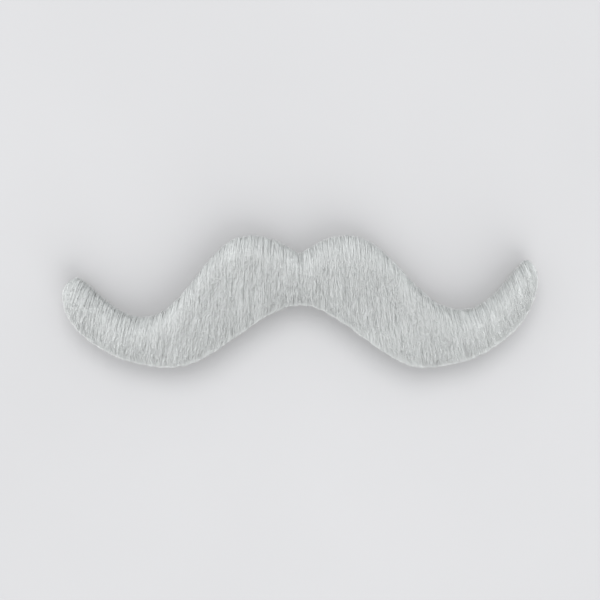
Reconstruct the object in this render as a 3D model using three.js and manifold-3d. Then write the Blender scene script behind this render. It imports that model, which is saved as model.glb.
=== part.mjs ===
// A self-adhesive costume moustache of the handlebar kind, cut by a die from pale grey plush.
// It lies on its back as it would on a table: +X is the wearer's left, which is the viewer's right,
// +Y points at the nose and +Z away from the lip. The origin is under the middle of the outline's box,
// on the face that sticks to the skin. All sizes are millimetres.
import * as THREE from "three";
import { mergeVertices } from "three/addons/utils/BufferGeometryUtils.js";
import Module from "manifold-3d";

// The outline that the die cuts.
const WING_SPAN = 80.8;
const OUTLINE_HEIGHT = 22.6;
const EDGE_FACET = 2.4;
const LEAST_FACETS = 4;
// An inset point nearer to the edge than this share of the inset has been folded over by a tight tip.
const FOLD_LIMIT = 0.995;

// The layers, from the skin outwards.
const TAPE_THICKNESS = 0.8;
const TAPE_INSET = 0.95;
const BACKING_THICKNESS = 1.2;
const BACKING_INSET = 0.35;
const ROOT_MAT_THICKNESS = 0.9;
const PILE_HEIGHT = 5.5;

// The lay of the pile. It leans towards the mouth, so it rises slowly from the nose edge.
const NAP_RUN = 5.5;
const NAP_START = 0.5;
const SHOULDER_WIDTH = 2.4;
const SHOULDER_START = 0.62;

// The locks that the pile has fallen into.
const LOCK_PITCH = 1.7;
const LOCK_OVERLAP = 1.7;
const LOCK_CROWN = 0.8;
const LOCK_WIDTH_VARIATION = 0.2;
const LOCK_HEIGHT_VARIATION = 0.25;
const FAN_AT_TIPS = 0.14;
const LEAN_VARIATION = 0.06;
const TRIM_MARGIN = 1.2;
// How fast the lean, the height and the width change from one lock to the next, in radians a lock.
const LEAN_PACE = 2.1;
const HEIGHT_PACE = 1.3;
const WIDTH_PACE = 1.7;
// A second, faster wave takes this share of each change, so that no row of locks repeats.
const FAST_WAVE_SHARE = 0.4;
const FAST_WAVE_PACE = 2.7;

// Points closer together than this are one point when a solid is made.
const WELD_DISTANCE = 1e-4;

// The edge knots of one wing, from the middle of the nose edge round the tip to the middle of the mouth
// edge. across and the two reaches are shares of half the span, up is a share of half the height. heading
// is the direction of the edge in degrees, and a reach is the length of the curve's handle before or after
// the knot.
const RIGHT_WING_EDGE = [
  { knot: "notch", across: 0.01, up: 0.735, heading: 34, before: 0, after: 0.07 },
  { knot: "hump", across: 0.198, up: 1, heading: 0, before: 0.09, after: 0.2 },
  { knot: "valley", across: 0.683, up: -0.133, heading: 0, before: 0.2, after: 0.11 },
  { knot: "curl", across: 0.926, up: 0.531, heading: 48, before: 0.1, after: 0.022 },
  { knot: "tip", across: 0.966, up: 0.62, heading: -12, before: 0.016, after: 0.024 },
  { knot: "end", across: 1, up: 0.4, heading: -90, before: 0.03, after: 0.21 },
  { knot: "belly", across: 0.515, up: -1, heading: 180, before: 0.27, after: 0.16 },
  { knot: "arch", across: 0, up: -0.062, heading: 180, before: 0.16, after: 0 },
];
const LEFT_WING_EDGE = [
  { knot: "notch", across: 0.01, up: 0.735, heading: 34, before: 0, after: 0.07 },
  { knot: "hump", across: 0.213, up: 1, heading: 0, before: 0.09, after: 0.19 },
  { knot: "valley", across: 0.663, up: -0.248, heading: 0, before: 0.18, after: 0.11 },
  { knot: "curl", across: 0.913, up: 0.3, heading: 38, before: 0.09, after: 0.022 },
  { knot: "tip", across: 0.956, up: 0.352, heading: -20, before: 0.016, after: 0.024 },
  { knot: "end", across: 1, up: 0.12, heading: -90, before: 0.034, after: 0.16 },
  { knot: "belly", across: 0.53, up: -1, heading: 180, before: 0.27, after: 0.16 },
  { knot: "arch", across: 0, up: -0.062, heading: 180, before: 0.16, after: 0 },
];

// Where along a lock its sections lie, as shares of the way from the nose edge to the mouth edge.
const LOCK_STATIONS = [0.04, 0.12, 0.26, 0.48, 0.72, 0.89, 0.97];
// One lock's crown, as shares of its half width and of its crown height, from its left flank to its right.
const LOCK_CROWN_SHAPE = [
  { aside: -1, sunk: 1 },
  { aside: -0.55, sunk: 0.3 },
  { aside: 0, sunk: 0 },
  { aside: 0.55, sunk: 0.3 },
  { aside: 1, sunk: 1 },
];

const ROOT_LEVEL = TAPE_THICKNESS + BACKING_THICKNESS;
const HALF_SPAN = WING_SPAN / 2;
const HALF_HEIGHT = OUTLINE_HEIGHT / 2;

const manifold = await Module();
manifold.setup();

// A point at a knot, or on the handle that leaves it. A negative reach gives the handle that arrives.
function knotPoint(knot, reach, side) {
  const heading = THREE.MathUtils.degToRad(knot.heading);
  const across = (knot.across + reach * Math.cos(heading)) * HALF_SPAN;
  return new THREE.Vector2(side * across, knot.up * HALF_HEIGHT + reach * Math.sin(heading) * HALF_SPAN);
}

// One wing's edge as points along cubic curves through its knots. side is 1 on the right, -1 on the left.
function wingEdge(knots, side) {
  const points = [];
  for (let index = 1; index < knots.length; index += 1) {
    const from = knots[index - 1];
    const to = knots[index];
    const curve = new THREE.CubicBezierCurve(
      knotPoint(from, 0, side),
      knotPoint(from, from.after, side),
      knotPoint(to, -to.before, side),
      knotPoint(to, 0, side),
    );
    const facets = Math.max(Math.ceil(curve.getLength() / EDGE_FACET), LEAST_FACETS);
    points.push(...curve.getPoints(facets).slice(1));
  }
  return points;
}

// The whole outline, anticlockwise, with no point given twice.
function dieOutline() {
  const right = wingEdge(RIGHT_WING_EDGE, 1).reverse();
  const left = wingEdge(LEFT_WING_EDGE, -1);
  const notch = [knotPoint(RIGHT_WING_EDGE[0], 0, 1), knotPoint(LEFT_WING_EDGE[0], 0, -1)];
  return [...right, ...notch, ...left.slice(0, -1)];
}

// How far a point lies from the nearest place on a closed line.
function distanceToLine(point, line) {
  let nearest = Infinity;
  line.forEach((start, index) => {
    const end = line[(index + 1) % line.length];
    const along = end.clone().sub(start);
    const share = THREE.MathUtils.clamp(point.clone().sub(start).dot(along) / along.lengthSq(), 0, 1);
    nearest = Math.min(nearest, start.clone().addScaledVector(along, share).distanceTo(point));
  });
  return nearest;
}

// The outline moved inwards by an even margin. Points that a tight tip would fold over are left out.
function insetOutline(outline, inset) {
  const moved = outline.map((point, index) => {
    const arriving = point.clone().sub(outline.at(index - 1)).normalize();
    const leaving = outline[(index + 1) % outline.length].clone().sub(point).normalize();
    const along = arriving.add(leaving).normalize();
    const mitre = inset / along.dot(leaving);
    return new THREE.Vector2(point.x - along.y * mitre, point.y + along.x * mitre);
  });
  return moved.filter((point) => distanceToLine(point, outline) > inset * FOLD_LIMIT);
}

// The lowest and highest place of the outline on the line across it at x.
function edgesAt(outline, x) {
  const crossings = [];
  outline.forEach((start, index) => {
    const end = outline[(index + 1) % outline.length];
    if (start.x <= x !== end.x <= x) {
      crossings.push(start.y + ((x - start.x) / (end.x - start.x)) * (end.y - start.y));
    }
  });
  return { mouth: Math.min(...crossings), nose: Math.max(...crossings) };
}

// A slab of an outline, from one level up to another.
function slab(outline, from, to) {
  const cut = { depth: to - from, bevelEnabled: false };
  return new THREE.ExtrudeGeometry(new THREE.Shape(outline), cut).translate(0, 0, from);
}

// A closed skin through rings of points, each ring convex and with as many points as the others.
function loft(rings) {
  const size = rings[0].length;
  const faces = [];
  for (let ring = 1; ring < rings.length; ring += 1) {
    for (let corner = 0; corner < size; corner += 1) {
      const here = (ring - 1) * size + corner;
      const beside = (ring - 1) * size + ((corner + 1) % size);
      faces.push(here, here + size, beside, beside, here + size, beside + size);
    }
  }
  const last = (rings.length - 1) * size;
  for (let corner = 2; corner < size; corner += 1) {
    faces.push(0, corner - 1, corner);
    faces.push(last, last + corner, last + corner - 1);
  }
  const geometry = new THREE.BufferGeometry().setFromPoints(rings.flat());
  geometry.setIndex(faces);
  return geometry;
}

// A closed geometry as a solid that can be joined and cut.
function solidOf(geometry) {
  const bare = geometry.clone();
  bare.deleteAttribute("normal");
  bare.deleteAttribute("uv");
  const merged = mergeVertices(bare, WELD_DISTANCE);
  return new manifold.Manifold(
    new manifold.Mesh({
      numProp: 3,
      vertProperties: new Float32Array(merged.attributes.position.array),
      triVerts: new Uint32Array(merged.index.array),
    }),
  );
}

// A solid as a geometry with flat faces.
function geometryOf(solid) {
  const mesh = solid.getMesh();
  const geometry = new THREE.BufferGeometry();
  geometry.setAttribute("position", new THREE.BufferAttribute(mesh.vertProperties, mesh.numProp));
  geometry.setIndex(new THREE.BufferAttribute(mesh.triVerts, 1));
  return geometry;
}

// How high the pile stands at a place. It rises away from the nose edge and rolls off at every edge.
function pileLevel(outline, place, nose) {
  const laid = THREE.MathUtils.clamp((nose - place.y) / NAP_RUN, 0, 1);
  const nap = 1 - (1 - NAP_START) * (1 - laid) ** 2;
  const inward = Math.min(distanceToLine(place, outline) / SHOULDER_WIDTH, 1);
  const shoulder = SHOULDER_START + (1 - SHOULDER_START) * Math.sqrt(1 - (1 - inward) ** 2);
  return ROOT_LEVEL + PILE_HEIGHT * nap * shoulder;
}

// A number from -1 to 1 for a lock, which changes irregularly from one lock to the next.
function sway(index, pace) {
  const slow = Math.sin(index * pace);
  const fast = Math.sin(index * pace * FAST_WAVE_PACE + pace);
  return THREE.MathUtils.lerp(slow, fast, FAST_WAVE_SHARE);
}

// One section across a lock: its crown from left to right, then its foot from right to left.
function lockSection(outline, lock, share) {
  const y = THREE.MathUtils.lerp(lock.nose, lock.mouth, share);
  const middle = lock.x + lock.lean * (lock.nose - y);
  const crown = LOCK_CROWN_SHAPE.map(({ aside, sunk }) => {
    const place = new THREE.Vector2(middle + aside * lock.halfWidth, y);
    const level = pileLevel(outline, place, lock.nose) + lock.rise - sunk * LOCK_CROWN;
    return new THREE.Vector3(place.x, place.y, Math.max(level, ROOT_LEVEL + ROOT_MAT_THICKNESS));
  });
  const foot = [crown.at(-1), crown[0]].map(({ x }) => new THREE.Vector3(x, y, ROOT_LEVEL));
  return [...crown, ...foot];
}

// One lock, from beyond the nose edge to beyond the mouth edge.
function lockGeometry(outline, index, pitch) {
  const x = -HALF_SPAN + pitch * (index + 0.5);
  const edges = edgesAt(outline, x);
  const depth = edges.nose - edges.mouth;
  const lock = {
    x,
    mouth: edges.mouth,
    nose: edges.nose,
    halfWidth: ((pitch * LOCK_OVERLAP) / 2) * (1 + sway(index, WIDTH_PACE) * LOCK_WIDTH_VARIATION),
    lean: (x / HALF_SPAN) * FAN_AT_TIPS + sway(index, LEAN_PACE) * LEAN_VARIATION,
    rise: sway(index, HEIGHT_PACE) * LOCK_HEIGHT_VARIATION,
  };
  const margin = (TRIM_MARGIN + lock.halfWidth) / depth;
  const stations = [-margin, ...LOCK_STATIONS, 1 + margin];
  return loft(stations.map((share) => lockSection(outline, lock, share)));
}

// The pile: a mat of roots with the locks fused to it, trimmed to the outline by the die.
function furPile(outline) {
  const lockCount = Math.round(WING_SPAN / LOCK_PITCH);
  let pile = solidOf(slab(outline, ROOT_LEVEL, ROOT_LEVEL + ROOT_MAT_THICKNESS));
  for (let index = 0; index < lockCount; index += 1) {
    pile = pile.add(solidOf(lockGeometry(outline, index, WING_SPAN / lockCount)));
  }
  const clearOfLocks = ROOT_LEVEL + PILE_HEIGHT + LOCK_HEIGHT_VARIATION + LOCK_CROWN;
  return geometryOf(pile.intersect(solidOf(slab(outline, 0, clearOfLocks))));
}

// The knitted ground cloth that holds the roots.
function knitBacking(outline) {
  return slab(insetOutline(outline, BACKING_INSET), TAPE_THICKNESS, ROOT_LEVEL);
}

// The double-sided tape that sticks to the lip.
function adhesiveTape(outline) {
  return slab(insetOutline(outline, TAPE_INSET), 0, TAPE_THICKNESS);
}

function namedMesh(name, geometry, color, roughness) {
  const mesh = new THREE.Mesh(geometry, new THREE.MeshStandardMaterial({ color, roughness, metalness: 0 }));
  mesh.name = name;
  return mesh;
}

const outline = dieOutline();
const moustache = new THREE.Group();
moustache.name = "fake_moustache";
moustache.add(
  namedMesh("fur_pile", furPile(outline), 0xc3c7c5, 0.75),
  namedMesh("knit_backing", knitBacking(outline), 0xd6d6cf, 0.95),
  namedMesh("adhesive_tape", adhesiveTape(outline), 0xedebe0, 0.6),
);

export default moustache;
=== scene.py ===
import math

import bmesh
import bpy
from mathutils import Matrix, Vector
from mathutils.geometry import tessellate_polygon


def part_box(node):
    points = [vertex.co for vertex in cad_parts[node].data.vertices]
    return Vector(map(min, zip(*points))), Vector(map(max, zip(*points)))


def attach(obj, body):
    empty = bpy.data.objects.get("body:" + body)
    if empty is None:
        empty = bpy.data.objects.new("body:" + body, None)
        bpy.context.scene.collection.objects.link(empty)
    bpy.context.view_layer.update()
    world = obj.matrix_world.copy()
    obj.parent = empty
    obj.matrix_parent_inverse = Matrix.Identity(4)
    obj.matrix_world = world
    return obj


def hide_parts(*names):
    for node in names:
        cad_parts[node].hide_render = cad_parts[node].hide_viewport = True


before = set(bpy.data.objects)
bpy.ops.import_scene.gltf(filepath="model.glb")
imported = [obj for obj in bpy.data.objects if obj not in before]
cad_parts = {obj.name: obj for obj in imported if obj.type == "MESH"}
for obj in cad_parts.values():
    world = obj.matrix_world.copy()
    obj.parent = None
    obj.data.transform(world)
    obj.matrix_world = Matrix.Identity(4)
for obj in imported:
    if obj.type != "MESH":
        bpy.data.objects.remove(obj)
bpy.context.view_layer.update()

# A self-adhesive costume moustache, cut from pale grey plush and laid on its tape with the fur up.
# The viewer looks straight down on it. Lengths are metres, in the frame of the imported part.

PILE_LOW, PILE_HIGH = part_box("fur_pile")
HALF_SPAN = (PILE_HIGH.x - PILE_LOW.x) / 2
MM = 0.001
# Two points nearer than this are one, and two heights nearer than this are level.
SAME_PLACE = 1e-6
# A face lies flat if its normal rises by at least this share.
FLAT = 0.99

# Real plush fibres are about 0.04 mm thick. These are drawn as coarse as they need to be to show.
STRAND_THICKNESS = 0.085 * MM
STRANDS_A_SQUARE_METRE = 95e6
STRAND_SEED = 7
# The fibres' map of tone and length, and the map that runs along a sheet's cut edge and up it, in metres.
STRAND_MAP = "OFBake"
EDGE_MAP = "cut_edge"
# The bands across the moustache that the fibres are made in, as shares of half the span.
PILE_BANDS = {
    "pile_left_wing": (-1.01, -0.52),
    "pile_left_shoulder": (-0.52, -0.27),
    "pile_left_of_centre": (-0.27, 0.015),
    "pile_right_of_centre": (0.015, 0.307),
    "pile_right_shoulder": (0.307, 0.553),
    "pile_right_wing": (0.553, 1.01),
}

# What the fibres' tree takes, with the value that it has here. Lengths are metres, the rest are shares.
STRAND_SIZES = {
    "Reach": 4.6 * MM,
    "Fan": 0.22,
    "Sway": 0.3,
    "Sway Size": 9.0 * MM,
    "Lock Pull": 0.17,
    "Lock Size": 1.9 * MM,
    "Stray": 0.06,
    "Overshoot": 0.35 * MM,
    "Tuft Size": 1.5 * MM,
    "Edge Width": 1.4 * MM,
    "Edge Spread": 0.26 * MM,
    "Nose Side Spread": 0.7,
    "Inner Share": 0.475,
    "Cut Margin": 0.06 * MM,
    "Least Height": 1.5 * MM,
    "Streak Size": 1.25 * MM,
    "Patch Size": 11.0 * MM,
}


# Small helpers


def linear(hex_colour):
    """An sRGB hex colour as linear red, green, blue and a full alpha."""
    parts = [int(hex_colour[place : place + 2], 16) / 255 for place in (1, 3, 5)]
    lit = [part / 12.92 if part <= 0.04045 else ((part + 0.055) / 1.055) ** 2.4 for part in parts]
    return [*lit, 1.0]


def add_node(tree, kind, inputs=(), **settings):
    """Adds a node with its settings. inputs is a list in the sockets' order, or maps a socket's name or
    number to what it takes: a value, a socket, or a node, whose first output in use it is."""
    made = tree.nodes.new(kind)
    for name, value in settings.items():
        setattr(made, name, value)
    for key, value in inputs.items() if isinstance(inputs, dict) else enumerate(inputs):
        if isinstance(value, bpy.types.Node):
            value = next(socket for socket in value.outputs if socket.enabled)
        if isinstance(value, bpy.types.NodeSocket):
            tree.links.new(value, made.inputs[key])
        else:
            made.inputs[key].default_value = value
    return made


def new_material(name):
    """An empty material and its tree, with a Principled shader already on its output."""
    material = bpy.data.materials.new(name)
    material.use_nodes = True
    tree = material.node_tree
    tree.nodes.clear()
    shader = add_node(tree, "ShaderNodeBsdfPrincipled")
    add_node(tree, "ShaderNodeOutputMaterial", {"Surface": shader})
    return material, tree, shader


def set_ramp(ramp, stops):
    """Gives a colour ramp these stops, each a place and a hex colour."""
    elements = ramp.color_ramp.elements
    while len(elements) < len(stops):
        elements.new(0.5)
    for element, (place, colour) in zip(elements, stops):
        element.position = place
        element.color = linear(colour)


def new_piece(name, mesh, material=None):
    """An object for this mesh, at the origin of the scene, with this material alone."""
    piece = bpy.data.objects.new(name, mesh)
    bpy.context.scene.collection.objects.link(piece)
    if material:
        mesh.materials.clear()
        mesh.materials.append(material)
    return piece


# Materials


def strand_material():
    """Modacrylic pile: pale grey fibres with a soft sheen, each its own tone, darkened towards the root by
    painted shade.
    """
    material, tree, shader = new_material("modacrylic_pile_fibre")
    places = add_node(tree, "ShaderNodeUVMap", uv_map=STRAND_MAP)
    split = add_node(tree, "ShaderNodeSeparateXYZ", [places])
    tone = add_node(tree, "ShaderNodeValToRGB", [split.outputs[0]])
    set_ramp(tone, [(0.0, "#CED0CF"), (0.45, "#DADCDB"), (0.75, "#E1E3E2"), (1.0, "#E9EBEA")])
    # Painted shade: each fibre's colour darkens towards its root, where the pile around it shades it.
    painted_root_shade = add_node(tree, "ShaderNodeValToRGB", [split.outputs[1]])
    set_ramp(painted_root_shade, [(0.0, "#E2E3E3"), (0.45, "#F7F8F8"), (1.0, "#FFFFFF")])
    colour = add_node(
        tree, "ShaderNodeMix", {"Factor": 1.0, 6: tone, 7: painted_root_shade}, data_type="RGBA", blend_type="MULTIPLY"
    )
    tree.links.new(colour.outputs[2], shader.inputs["Base Color"])
    gloss = add_node(tree, "ShaderNodeMapRange", {"Value": split.outputs[0], "To Min": 0.82, "To Max": 0.64})
    tree.links.new(gloss.outputs[0], shader.inputs["Roughness"])
    shader.inputs["Specular IOR Level"].default_value = 0.35
    shader.inputs["Sheen Weight"].default_value = 0.12
    shader.inputs["Sheen Roughness"].default_value = 0.5
    return material


def undercoat_material():
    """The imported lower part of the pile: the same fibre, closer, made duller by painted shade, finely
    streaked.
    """
    material, tree, shader = new_material("modacrylic_pile_undercoat")
    fibre_width = 0.25 * MM
    places = add_node(tree, "ShaderNodeTexCoord").outputs["Object"]
    stretched = add_node(tree, "ShaderNodeMapping", {"Vector": places, "Scale": (1.0, 0.12, 0.3)})
    fibres = add_node(
        tree, "ShaderNodeTexNoise", {"Vector": stretched, "Scale": 1 / (2 * fibre_width), "Detail": 3.0}
    )
    colour = add_node(tree, "ShaderNodeValToRGB", [fibres])
    # Painted shade: darker and duller than the fibres above, as the pile over it shades it.
    set_ramp(colour, [(0.3, "#BCC0C0"), (0.7, "#D6D9D8")])
    tree.links.new(colour.outputs[0], shader.inputs["Base Color"])
    raised = add_node(tree, "ShaderNodeBump", {"Strength": 0.7, "Distance": 0.2 * MM, "Height": fibres})
    tree.links.new(raised.outputs[0], shader.inputs["Normal"])
    gloss = add_node(tree, "ShaderNodeMapRange", {"Value": fibres, "To Min": 0.75, "To Max": 0.6})
    tree.links.new(gloss.outputs[0], shader.inputs["Roughness"])
    return material


def knit_material():
    """Knitted polyester ground cloth: matt off-white yarn, whose slanting stitches follow the cut edge, with
    painted shade in the grooves between them.
    """
    material, tree, shader = new_material("knitted_polyester_ground")
    stitch_width, stitch_height, slant = 0.5 * MM, 0.6 * MM, 0.55
    uneven_size, hair_size = 1.4 * MM, 0.11 * MM
    edge = add_node(tree, "ShaderNodeUVMap", uv_map=EDGE_MAP)
    split = add_node(tree, "ShaderNodeSeparateXYZ", [edge])
    places = add_node(tree, "ShaderNodeTexCoord").outputs["Object"]
    uneven = add_node(tree, "ShaderNodeTexNoise", {"Vector": places, "Scale": 1 / uneven_size, "Detail": 2.0})
    hairs = add_node(tree, "ShaderNodeTexNoise", {"Vector": places, "Scale": 1 / hair_size, "Detail": 2.0})

    # Each stitch is a V on its side: its two arms slant away from a fold between two rows.
    arm = add_node(tree, "ShaderNodeMath", [split.outputs[1], stitch_height], operation="PINGPONG")
    turn = add_node(tree, "ShaderNodeMath", [arm, slant, split.outputs[0]], operation="MULTIPLY_ADD")
    turn = add_node(tree, "ShaderNodeMath", [uneven, 0.4 * stitch_width, turn], operation="MULTIPLY_ADD")
    turn = add_node(tree, "ShaderNodeMath", [turn, math.tau / stitch_width], operation="MULTIPLY")
    wave = add_node(tree, "ShaderNodeMath", [turn], operation="SINE")
    ridge = add_node(tree, "ShaderNodeMapRange", {"Value": wave, "From Min": -1.0, "From Max": 0.8})
    fold_width = 0.3 * stitch_height
    fold = add_node(tree, "ShaderNodeMapRange", {"Value": arm, "From Max": fold_width, "To Min": 0.45})
    fluff = add_node(tree, "ShaderNodeMath", [hairs, 0.5, 0.75], operation="MULTIPLY_ADD")
    yarn = add_node(tree, "ShaderNodeMath", [ridge, fold], operation="MULTIPLY")
    yarn = add_node(tree, "ShaderNodeMath", [yarn, fluff], operation="MULTIPLY")
    # Painted shade: the colour follows the yarn's height, darker in the grooves between the stitches' arms and
    # along the folds between rows; the fluff is the yarn's own uneven tone.
    colour = add_node(tree, "ShaderNodeValToRGB", [yarn])
    set_ramp(colour, [(0.0, "#A9AAA5"), (0.5, "#C3C4BF"), (1.0, "#D2D3CE")])
    tree.links.new(colour.outputs[0], shader.inputs["Base Color"])
    raised = add_node(tree, "ShaderNodeBump", {"Strength": 0.7, "Distance": 0.12 * MM, "Height": yarn})
    tree.links.new(raised.outputs[0], shader.inputs["Normal"])
    shader.inputs["Roughness"].default_value = 0.95
    shader.inputs["Sheen Weight"].default_value = 0.2
    return material


def tape_material():
    """Acrylic adhesive on a tissue carrier: cream, half glossy, with tissue fibres and air pockets."""
    material, tree, shader = new_material("acrylic_adhesive_on_tissue")
    tissue_size, pocket_size = 1.1 * MM, 4.0 * MM
    places = add_node(tree, "ShaderNodeTexCoord").outputs["Object"]
    tissue = add_node(
        tree,
        "ShaderNodeTexNoise",
        {"Vector": places, "Scale": 1 / tissue_size, "Detail": 5.0, "Distortion": 1.5},
    )
    pockets = add_node(tree, "ShaderNodeTexVoronoi", {"Vector": places, "Scale": 1 / pocket_size})
    tint = add_node(tree, "ShaderNodeValToRGB", [tissue])
    set_ramp(tint, [(0.35, "#D2CEC1"), (0.65, "#E6E3DA")])
    tree.links.new(tint.outputs[0], shader.inputs["Base Color"])
    gloss = add_node(
        tree,
        "ShaderNodeMapRange",
        {
            "Value": pockets.outputs["Distance"],
            "From Min": 0.05,
            "From Max": 0.5,
            "To Min": 0.5,
            "To Max": 0.3,
        },
    )
    tree.links.new(gloss.outputs[0], shader.inputs["Roughness"])
    raised = add_node(tree, "ShaderNodeBump", {"Strength": 0.25, "Distance": 0.1 * MM, "Height": tissue})
    tree.links.new(raised.outputs[0], shader.inputs["Normal"])
    shader.inputs["IOR"].default_value = 1.47
    return material


def floor_material():
    """A plain pale tabletop in matt laminate, with the faintest mottle."""
    material, tree, shader = new_material("matt_laminate_table")
    mottle_size = 70.0 * MM
    places = add_node(tree, "ShaderNodeTexCoord").outputs["Object"]
    mottle = add_node(tree, "ShaderNodeTexNoise", {"Vector": places, "Scale": 1 / mottle_size, "Detail": 4.0})
    colour = add_node(tree, "ShaderNodeValToRGB", [mottle])
    set_ramp(colour, [(0.3, "#A1A1A2"), (0.7, "#A4A4A5")])
    tree.links.new(colour.outputs[0], shader.inputs["Base Color"])
    shader.inputs["Roughness"].default_value = 0.7
    return material


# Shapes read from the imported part


def welded_copy(node):
    """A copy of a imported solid's mesh with its loose triangles joined up."""
    shape = bmesh.new()
    shape.from_mesh(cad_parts[node].data)
    bmesh.ops.remove_doubles(shape, verts=shape.verts, dist=SAME_PLACE)
    return shape


def under_outline(node):
    """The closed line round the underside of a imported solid, anticlockwise from above."""
    shape = welded_copy(node)
    level = min(point.co.z for point in shape.verts)
    under = {face for face in shape.faces if all(point.co.z < level + SAME_PLACE for point in face.verts)}
    follows = {}
    for face in under:
        for corner in face.loops:
            if not all(other in under for other in corner.edge.link_faces):
                follows[corner.link_loop_next.vert] = corner.vert
    # It starts at the leftmost point, so that it is the same line each run.
    start = min(follows, key=lambda point: tuple(point.co))
    line, point = [], start
    while not line or point is not start:
        line.append(point.co.xy.copy())
        point = follows[point]
    shape.free()
    return line


def smooth_line(line, step):
    """A closed line through the same points, rounded between them, with points about a step apart."""
    smooth = []
    for index, start in enumerate(line):
        before, end, after = line[index - 1], line[(index + 1) % len(line)], line[(index + 2) % len(line)]
        pieces = max(1, round((end - start).length / step))
        leaving = (end - before) * ((end - start).length / max((end - before).length, SAME_PLACE))
        arriving = (after - start) * ((end - start).length / max((after - start).length, SAME_PLACE))
        for piece in range(pieces):
            t = piece / pieces
            smooth.append(
                start * (2 * t**3 - 3 * t**2 + 1)
                + leaving * (t**3 - 2 * t**2 + t)
                + end * (3 * t**2 - 2 * t**3)
                + arriving * (t**3 - t**2)
            )
    return smooth


def inward(line):
    """For each point of an anticlockwise line, the unit direction that leads inside."""
    directions = []
    for index in range(len(line)):
        along = (line[(index + 1) % len(line)] - line[index - 1]).normalized()
        directions.append(Vector((-along.y, along.x)))
    return directions


def cut_sheet(name, node, rounding, waver, material):
    """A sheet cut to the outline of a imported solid, with softened edges that waver as a cut edge does."""
    low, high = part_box(node)
    point_spacing = 0.4 * MM
    line = smooth_line(under_outline(node), point_spacing)
    directions = inward(line)
    runs = [0.0]
    for place, following in zip(line, line[1:] + line[:1]):
        runs.append(runs[-1] + (following - place).length)

    # The edge wavers by a quick wave, which differs from ring to ring, and a slow one, in radians a point.
    quick, slow, each_ring = 1.7, 0.61, 4.0 / MM
    # Each ring has how far in it lies, in shares of the rounding, and its height.
    levels = [(1.0, low.z), (0.3, low.z + 0.3 * rounding), (0.0, low.z + rounding)]
    levels += [(0.0, high.z - rounding), (0.3, high.z - 0.3 * rounding), (1.0, high.z)]
    shape = bmesh.new()
    edge_map = shape.loops.layers.uv.new(EDGE_MAP)
    rings = []
    for aside, height in levels:
        ring = []
        for index, (place, direction) in enumerate(zip(line, directions)):
            wave = 0.5 + 0.3 * math.sin(index * quick + height * each_ring) + 0.2 * math.sin(index * slow + 2)
            at = place + direction * (aside * rounding + waver * wave)
            ring.append(shape.verts.new((at.x, at.y, height)))
        rings.append(ring)
    for lower, upper in zip(rings, rings[1:]):
        for index in range(len(lower)):
            wall = shape.faces.new((lower[index], lower[index - 1], upper[index - 1], upper[index]))
            here = index or len(line)
            corner_runs = (runs[here], runs[here - 1], runs[here - 1], runs[here])
            for corner, run in zip(wall.loops, corner_runs):
                corner[edge_map].uv = (run, corner.vert.co.z - low.z)
    for ring, order in ((rings[0], -1), (rings[-1], 1)):
        for corners in tessellate_polygon([[point.co for point in ring]]):
            cap = shape.faces.new([ring[corner] for corner in corners][::order])
            for corner in cap.loops:
                corner[edge_map].uv = corner.vert.co.xy
    bmesh.ops.recalc_face_normals(shape, faces=shape.faces)
    mesh = bpy.data.meshes.new(name)
    shape.to_mesh(mesh)
    shape.free()
    for face in mesh.polygons:
        face.use_smooth = abs(face.normal.z) < FLAT
    return new_piece(name, mesh, material)


# The pile


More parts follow.
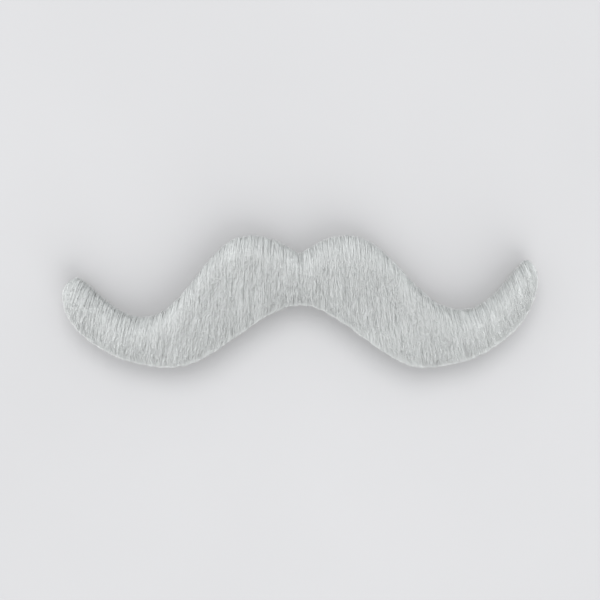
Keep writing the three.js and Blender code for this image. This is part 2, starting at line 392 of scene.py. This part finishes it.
def strand_tree(material):
    """Combed fibres on a patch of cloth. Each leans to the mouth with its lock and ends where the die cut."""
    # How a fibre bends: how late it leans over, how early it rises and how much thinner its tip is.
    lean_bend, rise_bend, taper = 1.6, 1.7, 0.7
    points_on_a_fibre = 4
    # How fast the closer roots thin out inwards, and where the pattern of tufts is tight and where slack.
    dense_fade, tight, slack = 0.6, 0.35, 0.65
    # One ray runs a little over the cloth to the wall, and three come down on the fur from well above.
    over_cloth, over_fur, ray_length = 0.4 * MM, 50 * MM, 100 * MM
    just_inside, lock_gap = 0.92, 0.5 * MM
    # How much of a fibre's tone comes from the streaks and from the patches, and the range it keeps to.
    streak_share, patch_share, darkest, palest = 0.7, 0.45, 0.02, 0.96

    tree = bpy.data.node_groups.new("combed_strands", "GeometryNodeTree")
    kinds = {"Cloth Patch": "NodeSocketGeometry", "Trimmed Pile": "NodeSocketObject"}
    kinds |= {"Die Line": "NodeSocketObject", "Seed": "NodeSocketInt"}
    numbers = ["From Across", "To Across", "Half Span", "Density", "Thickness", *STRAND_SIZES]
    kinds |= dict.fromkeys(numbers, "NodeSocketFloat")
    for name, kind in kinds.items():
        tree.interface.new_socket(name, in_out="INPUT", socket_type=kind)
    tree.interface.new_socket("Strands", in_out="OUTPUT", socket_type="NodeSocketGeometry")
    given = add_node(tree, "NodeGroupInput").outputs
    cut_edge = add_node(tree, "GeometryNodeObjectInfo", {"Object": given["Die Line"]}).outputs["Geometry"]
    pile = add_node(tree, "GeometryNodeObjectInfo", {"Object": given["Trimmed Pile"]}).outputs["Geometry"]
    place = add_node(tree, "GeometryNodeInputPosition")
    split = add_node(tree, "ShaderNodeSeparateXYZ", [place])

    # Each fibre's own random numbers, drawn from the seed and the step in this order.
    drawn = {}
    for step, (name, low, high) in enumerate(
        (
            ("stray", -1.0, 1.0),
            ("downwards", 0.72, 1.12),
            ("overshoot", 0.0, 1.0),
            ("stands", 0.84, 1.02),
            ("tone", -0.32, 0.22),
            ("spread", 0.0, 1.6),
            ("stays", 0.0, 0.9),
            ("thinning", 0.0, 1.0),
        ),
        start=1,
    ):
        seed = add_node(tree, "ShaderNodeMath", [given["Seed"], step], operation="ADD")
        drawn[name] = add_node(
            tree, "FunctionNodeRandomValue", {2: low, 3: high, "Seed": seed}, data_type="FLOAT"
        )

    # Soft patterns over the cloth, each as wide as its size and squeezed or stretched along the nap.
    patterns = {}
    for name, size, along_nap, detail in (
        ("sway", "Sway Size", 1.0, 1.0),
        ("lock", "Lock Size", 0.3, 1.0),
        ("tufts", "Tuft Size", 1.0, 1.0),
        ("streaks", "Streak Size", 0.16, 2.0),
        ("patches", "Patch Size", 1.0, 1.0),
    ):
        at = add_node(tree, "ShaderNodeVectorMath", [place, (1.0, along_nap, 1.0)], operation="MULTIPLY")
        scale = add_node(tree, "ShaderNodeMath", [1.0, given[size]], operation="DIVIDE")
        patterns[name] = add_node(
            tree, "ShaderNodeTexNoise", {"Vector": at, "Scale": scale, "Detail": detail}
        )

    # Roots, scattered over the cloth and kept inside this band and off the cut.
    roots = add_node(
        tree,
        "GeometryNodeDistributePointsOnFaces",
        {"Mesh": given["Cloth Patch"], "Density": given["Density"], "Seed": given["Seed"]},
        distribute_method="RANDOM",
    )
    nearest = add_node(
        tree, "GeometryNodeProximity", {0: cut_edge, "Sample Position": place}, target_element="EDGES"
    )
    before = add_node(
        tree, "ShaderNodeMath", [split.outputs[0], given["From Across"]], operation="LESS_THAN"
    )
    past = add_node(
        tree, "ShaderNodeMath", [split.outputs[0], given["To Across"]], operation="GREATER_THAN"
    )
    on_cut = add_node(
        tree, "ShaderNodeMath", [nearest.outputs["Distance"], given["Cut Margin"]], operation="LESS_THAN"
    )
    # They stand closest along the nose side, where no fibres lean in from outside to cover the roots.
    outwards = add_node(
        tree, "ShaderNodeVectorMath", [nearest.outputs["Position"], place], operation="SUBTRACT"
    )
    outwards = add_node(tree, "ShaderNodeVectorMath", [outwards], operation="NORMALIZE")
    facing = add_node(tree, "ShaderNodeSeparateXYZ", [outwards])
    to_nose = add_node(tree, "ShaderNodeMath", [facing.outputs[1], 0.0], operation="MAXIMUM")
    from_edge = add_node(
        tree, "ShaderNodeMath", [nearest.outputs["Distance"], given["Edge Width"]], operation="DIVIDE"
    )
    fades = add_node(tree, "ShaderNodeMath", [from_edge, dense_fade], operation="MULTIPLY")
    fades = add_node(tree, "ShaderNodeMath", [fades, 1.0], operation="MINIMUM")
    at_edge = add_node(tree, "ShaderNodeMath", [1.0, fades], operation="SUBTRACT")
    bare = add_node(tree, "ShaderNodeMath", [to_nose, at_edge], operation="MULTIPLY")
    share = add_node(tree, "ShaderNodeMix", {0: bare, 2: given["Inner Share"], 3: 1.0}, data_type="FLOAT")
    unwanted = add_node(tree, "ShaderNodeMath", [drawn["thinning"], share], operation="GREATER_THAN")
    for reason in (before, past, on_cut):
        unwanted = add_node(tree, "ShaderNodeMath", [unwanted, reason], operation="ADD")
    roots = add_node(
        tree, "GeometryNodeDeleteGeometry", {"Geometry": roots, "Selection": unwanted}, domain="POINT"
    )

    # Which way each fibre leans: the fan of the nap, a slow sway, the pull of its lock and a stray part.
    across = add_node(tree, "ShaderNodeMath", [split.outputs[0], given["Half Span"]], operation="DIVIDE")
    across = add_node(tree, "ShaderNodeMath", [across, given["Fan"]], operation="MULTIPLY")
    for pattern, amount in (("sway", "Sway"), ("lock", "Lock Pull")):
        shades = add_node(tree, "ShaderNodeSeparateXYZ", [patterns[pattern].outputs["Color"]])
        centred = add_node(tree, "ShaderNodeMath", [shades.outputs[0], 0.5], operation="SUBTRACT")
        across = add_node(
            tree, "ShaderNodeMath", [centred, given[amount], across], operation="MULTIPLY_ADD"
        )
    across = add_node(
        tree, "ShaderNodeMath", [drawn["stray"], given["Stray"], across], operation="MULTIPLY_ADD"
    )
    downwards = add_node(tree, "ShaderNodeMath", [drawn["downwards"], -1.0], operation="MULTIPLY")
    heading = add_node(tree, "ShaderNodeCombineXYZ", [across, downwards])
    lean = add_node(tree, "ShaderNodeVectorMath", {0: heading, "Scale": given["Reach"]}, operation="SCALE")

    # At a cut edge the fibres have no neighbours to hold them, so they spread out, more in some tufts.
    loose = add_node(
        tree, "ShaderNodeMapRange", {"Value": patterns["tufts"], "From Min": tight, "From Max": slack}
    )
    freedom = add_node(tree, "ShaderNodeMath", [from_edge, 1.0], operation="MINIMUM")
    freedom = add_node(tree, "ShaderNodeMath", [1.0, freedom], operation="SUBTRACT")
    freedom = add_node(tree, "ShaderNodeMath", [freedom, 2.0], operation="POWER")
    spread_length = add_node(
        tree, "ShaderNodeMath", [to_nose, given["Nose Side Spread"], 1.0], operation="MULTIPLY_ADD"
    )
    for part in (freedom, given["Edge Spread"], drawn["spread"], loose):
        spread_length = add_node(tree, "ShaderNodeMath", [spread_length, part], operation="MULTIPLY")
    spread = add_node(
        tree, "ShaderNodeVectorMath", {0: outwards, "Scale": spread_length}, operation="SCALE"
    )

    # The die's cut: how much of the lean fits between the root and the wall of the trimmed pile.
    ray_start = add_node(tree, "ShaderNodeVectorMath", [place, (0.0, 0.0, over_cloth)], operation="ADD")
    wall = add_node(
        tree,
        "GeometryNodeRaycast",
        {
            "Target Geometry": pile,
            "Source Position": ray_start,
            "Ray Direction": lean,
            "Ray Length": ray_length,
        },
    ).outputs["Hit Distance"]
    past_wall = add_node(
        tree, "ShaderNodeMath", [drawn["overshoot"], given["Overshoot"]], operation="MULTIPLY"
    )
    room = add_node(tree, "ShaderNodeMath", [past_wall, loose, wall], operation="MULTIPLY_ADD")
    lean_length = add_node(tree, "ShaderNodeVectorMath", [lean], operation="LENGTH").outputs["Value"]
    fits = add_node(tree, "ShaderNodeMath", [room, lean_length], operation="DIVIDE")
    fits = add_node(tree, "ShaderNodeMath", [fits, 1.0], operation="MINIMUM")

    # How high it stands: up to the trimmed pile's surface over its tip, or just inside the wall.
    inside = add_node(tree, "ShaderNodeMath", [wall, lean_length], operation="DIVIDE")
    inside = add_node(tree, "ShaderNodeMath", [inside, 1.0], operation="MINIMUM")
    inside = add_node(tree, "ShaderNodeMath", [inside, just_inside], operation="MULTIPLY")
    over_tip = add_node(tree, "ShaderNodeVectorMath", {0: lean, "Scale": inside}, operation="SCALE")
    over_tip = add_node(tree, "ShaderNodeVectorMath", [place, over_tip], operation="ADD")
    # It is measured at three places, so that no fibre drops into the gap between two locks.
    level = add_node(tree, "ShaderNodeMath", [split.outputs[2], given["Least Height"]], operation="ADD")
    for aside in (-lock_gap, 0.0, lock_gap):
        ray_start = add_node(
            tree, "ShaderNodeVectorMath", [over_tip, (aside, 0.0, over_fur)], operation="ADD"
        )
        surface = add_node(
            tree,
            "GeometryNodeRaycast",
            {
                "Target Geometry": pile,
                "Source Position": ray_start,
                "Ray Direction": (0.0, 0.0, -1.0),
                "Ray Length": ray_length,
            },
        )
        found = add_node(tree, "ShaderNodeSeparateXYZ", [surface.outputs["Hit Position"]])
        level = add_node(tree, "ShaderNodeMath", [level, found.outputs[2]], operation="MAXIMUM")
    height = add_node(tree, "ShaderNodeMath", [level, split.outputs[2]], operation="SUBTRACT")
    stands = add_node(tree, "ShaderNodeMath", [height, drawn["stands"]], operation="MULTIPLY")

    # Some of the fibres at the wall stand up along it rather than lean and be cut.
    stays = add_node(tree, "ShaderNodeMix", {0: drawn["stays"], 2: 1.0, 3: fits}, data_type="FLOAT")
    lean = add_node(tree, "ShaderNodeVectorMath", {0: lean, "Scale": stays}, operation="SCALE")
    fits = add_node(tree, "ShaderNodeMath", [fits, stays], operation="DIVIDE")
    cut = add_node(tree, "ShaderNodeMath", [fits, 1 / lean_bend], operation="POWER")
    spread = add_node(tree, "ShaderNodeVectorMath", {0: spread, "Scale": fits}, operation="SCALE")

    # Its tone: long streaks, wider patches and its own part.
    tone = add_node(
        tree, "ShaderNodeMath", [patterns["streaks"], streak_share, drawn["tone"]], operation="MULTIPLY_ADD"
    )
    tone = add_node(
        tree, "ShaderNodeMath", [patterns["patches"], patch_share, tone], operation="MULTIPLY_ADD"
    )
    tone = add_node(tree, "ShaderNodeClamp", {"Value": tone, "Min": darkest, "Max": palest})

    for name, value, kind in (
        ("strand_root", place, "FLOAT_VECTOR"),
        ("strand_lean", lean, "FLOAT_VECTOR"),
        ("strand_spread", spread, "FLOAT_VECTOR"),
        ("strand_stands", stands, "FLOAT"),
        ("strand_cut", cut, "FLOAT"),
        ("strand_tone", tone, "FLOAT"),
    ):
        stored = {"Geometry": roots, "Name": name, "Value": value}
        roots = add_node(tree, "GeometryNodeStoreNamedAttribute", stored, data_type=kind, domain="POINT")
    kept = {}
    for name, kind in (
        ("strand_root", "FLOAT_VECTOR"),
        ("strand_lean", "FLOAT_VECTOR"),
        ("strand_spread", "FLOAT_VECTOR"),
        ("strand_stands", "FLOAT"),
        ("strand_cut", "FLOAT"),
        ("strand_tone", "FLOAT"),
        ("strand_along", "FLOAT"),
        ("strand_side", "FLOAT"),
    ):
        kept[name] = add_node(tree, "GeometryNodeInputNamedAttribute", {"Name": name}, data_type=kind)

    # One straight line at each root, then bent: up first, and over towards its tip.
    straight = add_node(tree, "GeometryNodeCurvePrimitiveLine", {"End": (0.0, 0.0, 1.0)})
    straight = add_node(tree, "GeometryNodeResampleCurve", {"Curve": straight, "Count": points_on_a_fibre})
    lines = add_node(tree, "GeometryNodeInstanceOnPoints", {"Points": roots, "Instance": straight})
    lines = add_node(tree, "GeometryNodeRealizeInstances", [lines])
    along = add_node(tree, "GeometryNodeSplineParameter").outputs["Factor"]
    reached = add_node(tree, "ShaderNodeMath", [along, kept["strand_cut"]], operation="MULTIPLY")
    over = add_node(tree, "ShaderNodeMath", [reached, lean_bend], operation="POWER")
    over = add_node(tree, "ShaderNodeVectorMath", {0: kept["strand_lean"], "Scale": over}, operation="SCALE")
    rising = add_node(tree, "ShaderNodeMath", [1.0, reached], operation="SUBTRACT")
    rising = add_node(tree, "ShaderNodeMath", [rising, rise_bend], operation="POWER")
    rising = add_node(tree, "ShaderNodeMath", [1.0, rising], operation="SUBTRACT")
    rising = add_node(tree, "ShaderNodeMath", [kept["strand_stands"], rising], operation="MULTIPLY")
    up = add_node(tree, "ShaderNodeCombineXYZ", {2: rising})
    # The spread is none at the root and at the tip, and whole half way.
    bulge = add_node(tree, "ShaderNodeMath", [1.0, along], operation="SUBTRACT")
    bulge = add_node(tree, "ShaderNodeMath", [along, bulge], operation="MULTIPLY")
    bulge = add_node(tree, "ShaderNodeMath", [bulge, 4.0], operation="MULTIPLY")
    bulge = add_node(
        tree, "ShaderNodeVectorMath", {0: kept["strand_spread"], "Scale": bulge}, operation="SCALE"
    )
    bent = kept["strand_root"]
    for part in (over, up, bulge):
        bent = add_node(tree, "ShaderNodeVectorMath", [bent, part], operation="ADD")
    lines = add_node(tree, "GeometryNodeSetPosition", {"Geometry": lines, "Position": bent})
    stored = {"Geometry": lines, "Name": "strand_along", "Value": along}
    lines = add_node(tree, "GeometryNodeStoreNamedAttribute", stored, data_type="FLOAT", domain="POINT")

    # The skin: three sides, thinner towards the tip.
    thinner = add_node(tree, "ShaderNodeMath", [along, 2.0], operation="POWER")
    thinner = add_node(tree, "ShaderNodeMath", [thinner, -taper, 1.0], operation="MULTIPLY_ADD")
    radius = add_node(tree, "ShaderNodeMath", [given["Thickness"], 0.5], operation="MULTIPLY")
    radius = add_node(tree, "ShaderNodeMath", [radius, thinner], operation="MULTIPLY")
    section = add_node(tree, "GeometryNodeCurvePrimitiveCircle", {"Resolution": 3, "Radius": 1.0})
    side = add_node(tree, "GeometryNodeSplineParameter").outputs["Factor"]
    stored = {"Geometry": section, "Name": "strand_side", "Value": side}
    section = add_node(tree, "GeometryNodeStoreNamedAttribute", stored, data_type="FLOAT", domain="POINT")
    skin = add_node(
        tree,
        "GeometryNodeCurveToMesh",
        {"Curve": lines, "Profile Curve": section, "Scale": radius, "Fill Caps": True},
    )
    skin = add_node(tree, "GeometryNodeSetShadeSmooth", {"Geometry": skin})

    # The map: tone runs across it and a fibre's length up it, so fibres of one tone share their place.
    side_width, length_share, margin = 0.012, 0.96, 0.02
    across_map = add_node(tree, "ShaderNodeMath", [kept["strand_side"], side_width], operation="MULTIPLY")
    across_map = add_node(tree, "ShaderNodeMath", [kept["strand_tone"], across_map], operation="ADD")
    up_map = add_node(
        tree, "ShaderNodeMath", [kept["strand_along"], length_share, margin], operation="MULTIPLY_ADD"
    )
    map_place = add_node(tree, "ShaderNodeCombineXYZ", [across_map, up_map])
    stored = {"Geometry": skin, "Name": STRAND_MAP, "Value": map_place}
    skin = add_node(tree, "GeometryNodeStoreNamedAttribute", stored, data_type="FLOAT2", domain="CORNER")
    spent = {"Geometry": skin, "Name": "strand_*"}
    skin = add_node(tree, "GeometryNodeRemoveAttribute", spent, pattern_mode="WILDCARD")
    skin = add_node(tree, "GeometryNodeRealizeInstances", [skin])
    skin = add_node(tree, "GeometryNodeSetMaterial", {"Geometry": skin, "Material": material})
    add_node(tree, "NodeGroupOutput", [skin])
    return tree


def cloth_patch():
    """The face of the cloth that carries the fibres, looking up, as an object that is only measured from."""
    shape = welded_copy("fur_pile")
    level = PILE_LOW.z + SAME_PLACE
    above = [face for face in shape.faces if not all(point.co.z < level for point in face.verts)]
    bmesh.ops.delete(shape, geom=above, context="FACES")
    bmesh.ops.reverse_faces(shape, faces=shape.faces)
    mesh = bpy.data.meshes.new("cloth_patch")
    shape.to_mesh(mesh)
    shape.free()
    return new_piece("cloth_patch", mesh)


def die_line():
    """The line that the die cut, level with the fibres' roots, as an object that is only measured from."""
    corners = [(place.x, place.y, PILE_LOW.z) for place in under_outline("fur_pile")]
    edges = [(index, (index + 1) % len(corners)) for index in range(len(corners))]
    mesh = bpy.data.meshes.new("die_line")
    mesh.from_pydata(corners, edges, [])
    return new_piece("die_line", mesh)


def pile_strands(material):
    """The fibres, one mesh for each band of the moustache."""
    tree = strand_tree(material)
    sockets = {item.name: item.identifier for item in tree.interface.items_tree if item.in_out == "INPUT"}
    patch = cloth_patch()
    cut = die_line()
    made = []
    for name, (start, end) in PILE_BANDS.items():
        sizes = {
            "Trimmed Pile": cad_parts["fur_pile"],
            "Die Line": cut,
            "From Across": start * HALF_SPAN,
            "To Across": end * HALF_SPAN,
            "Half Span": HALF_SPAN,
            "Density": STRANDS_A_SQUARE_METRE,
            "Thickness": STRAND_THICKNESS,
            "Seed": STRAND_SEED,
        }
        grown = patch.modifiers.new("strands", "NODES")
        grown.node_group = tree
        for size, value in (sizes | STRAND_SIZES).items():
            grown[sockets[size]] = value
        patch.update_tag()
        mesh = bpy.data.meshes.new_from_object(patch.evaluated_get(bpy.context.evaluated_depsgraph_get()))
        patch.modifiers.remove(grown)
        mesh.name = name
        made.append(new_piece(name, mesh, material))
    bpy.data.objects.remove(patch)
    bpy.data.objects.remove(cut)
    return made


def pile_undercoat(material):
    """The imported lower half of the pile, inside the outline, which closes the view between the fibres."""
    sunk, shrunk = 0.4, 0.9 * MM
    shape = welded_copy("fur_pile")
    mesh = bpy.data.meshes.new("pile_undercoat")
    shape.to_mesh(mesh)
    shape.free()
    piece = new_piece("pile_undercoat", mesh)
    voxels = piece.modifiers.new("even", "REMESH")
    voxels.mode = "VOXEL"
    voxels.voxel_size = 0.5 * MM
    softer = piece.modifiers.new("softer", "SMOOTH")
    softer.iterations = 3
    packed = bpy.data.meshes.new_from_object(piece.evaluated_get(bpy.context.evaluated_depsgraph_get()))
    bpy.data.objects.remove(piece)
    outwards = [Vector((point.normal.x, point.normal.y, 0.0)) for point in packed.vertices]
    for point, outward in zip(packed.vertices, outwards):
        point.co -= outward * shrunk
        point.co.z = PILE_LOW.z + max(point.co.z - PILE_LOW.z, 0.0) * sunk
    for face in packed.polygons:
        face.use_smooth = True
    packed.name = "pile_undercoat"
    return new_piece("pile_undercoat", packed, material)


# The moustache

for strands in pile_strands(strand_material()):
    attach(strands, "root")
    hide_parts("fur_pile")

undercoat = pile_undercoat(undercoat_material())
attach(undercoat, "root")
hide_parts("fur_pile")

ground_cloth = cut_sheet("knit_ground_cloth", "knit_backing", 0.2 * MM, 0.12 * MM, knit_material())
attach(ground_cloth, "root")
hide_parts("knit_backing")

tape = cut_sheet("adhesive_film", "adhesive_tape", 0.12 * MM, 0.03 * MM, tape_material())
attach(tape, "root")
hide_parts("adhesive_tape")


# The table, the light and the camera


def soft_light(name, place, spread, strength):
    """A big far soft box, which lights the whole table evenly, so that it looks the same from every side."""
    lamp = bpy.data.lights.new(name, "SUN")
    lamp.angle = math.radians(spread)
    lamp.energy = strength
    light = bpy.data.objects.new(name, lamp)
    light.location = place
    light.rotation_euler = (-Vector(place)).to_track_quat("-Z", "Y").to_euler()
    bpy.context.scene.collection.objects.link(light)


# The table lies a hair below the tape, because two faces at one level shade each other black.
far, floor_level = 12.0, -0.02 * MM
floor_corners = [(x, y, floor_level) for x, y in ((-far, -far), (far, -far), (far, far), (-far, far))]
floor_mesh = bpy.data.meshes.new("table_top")
floor_mesh.from_pydata(floor_corners, [], [(0, 1, 2, 3)])
new_piece("table_top", floor_mesh, floor_material())

soft_light("key_softbox", (-0.02, 0.28, 0.66), 40.0, 1.9)
soft_light("fill_softbox", (0.2, -0.6, 0.45), 50.0, 2.0)

world = bpy.data.worlds.new("studio")
world.use_nodes = True
world.node_tree.nodes["Background"].inputs["Color"].default_value = (0.98, 0.985, 1.0, 1.0)
world.node_tree.nodes["Background"].inputs["Strength"].default_value = 1.1
bpy.context.scene.world = world
bpy.context.scene.view_settings.view_transform = "Standard"

# Straight down on the fur, with the moustache over four fifths of the picture's width.
lens = bpy.data.cameras.new("camera")
lens.lens = 100
camera = bpy.data.objects.new("camera", lens)
seen_width = 2 * HALF_SPAN / 0.8
camera.location = (0.0, 0.0, PILE_HIGH.z + seen_width * lens.lens / lens.sensor_width)
bpy.context.scene.collection.objects.link(camera)
bpy.context.scene.camera = camera
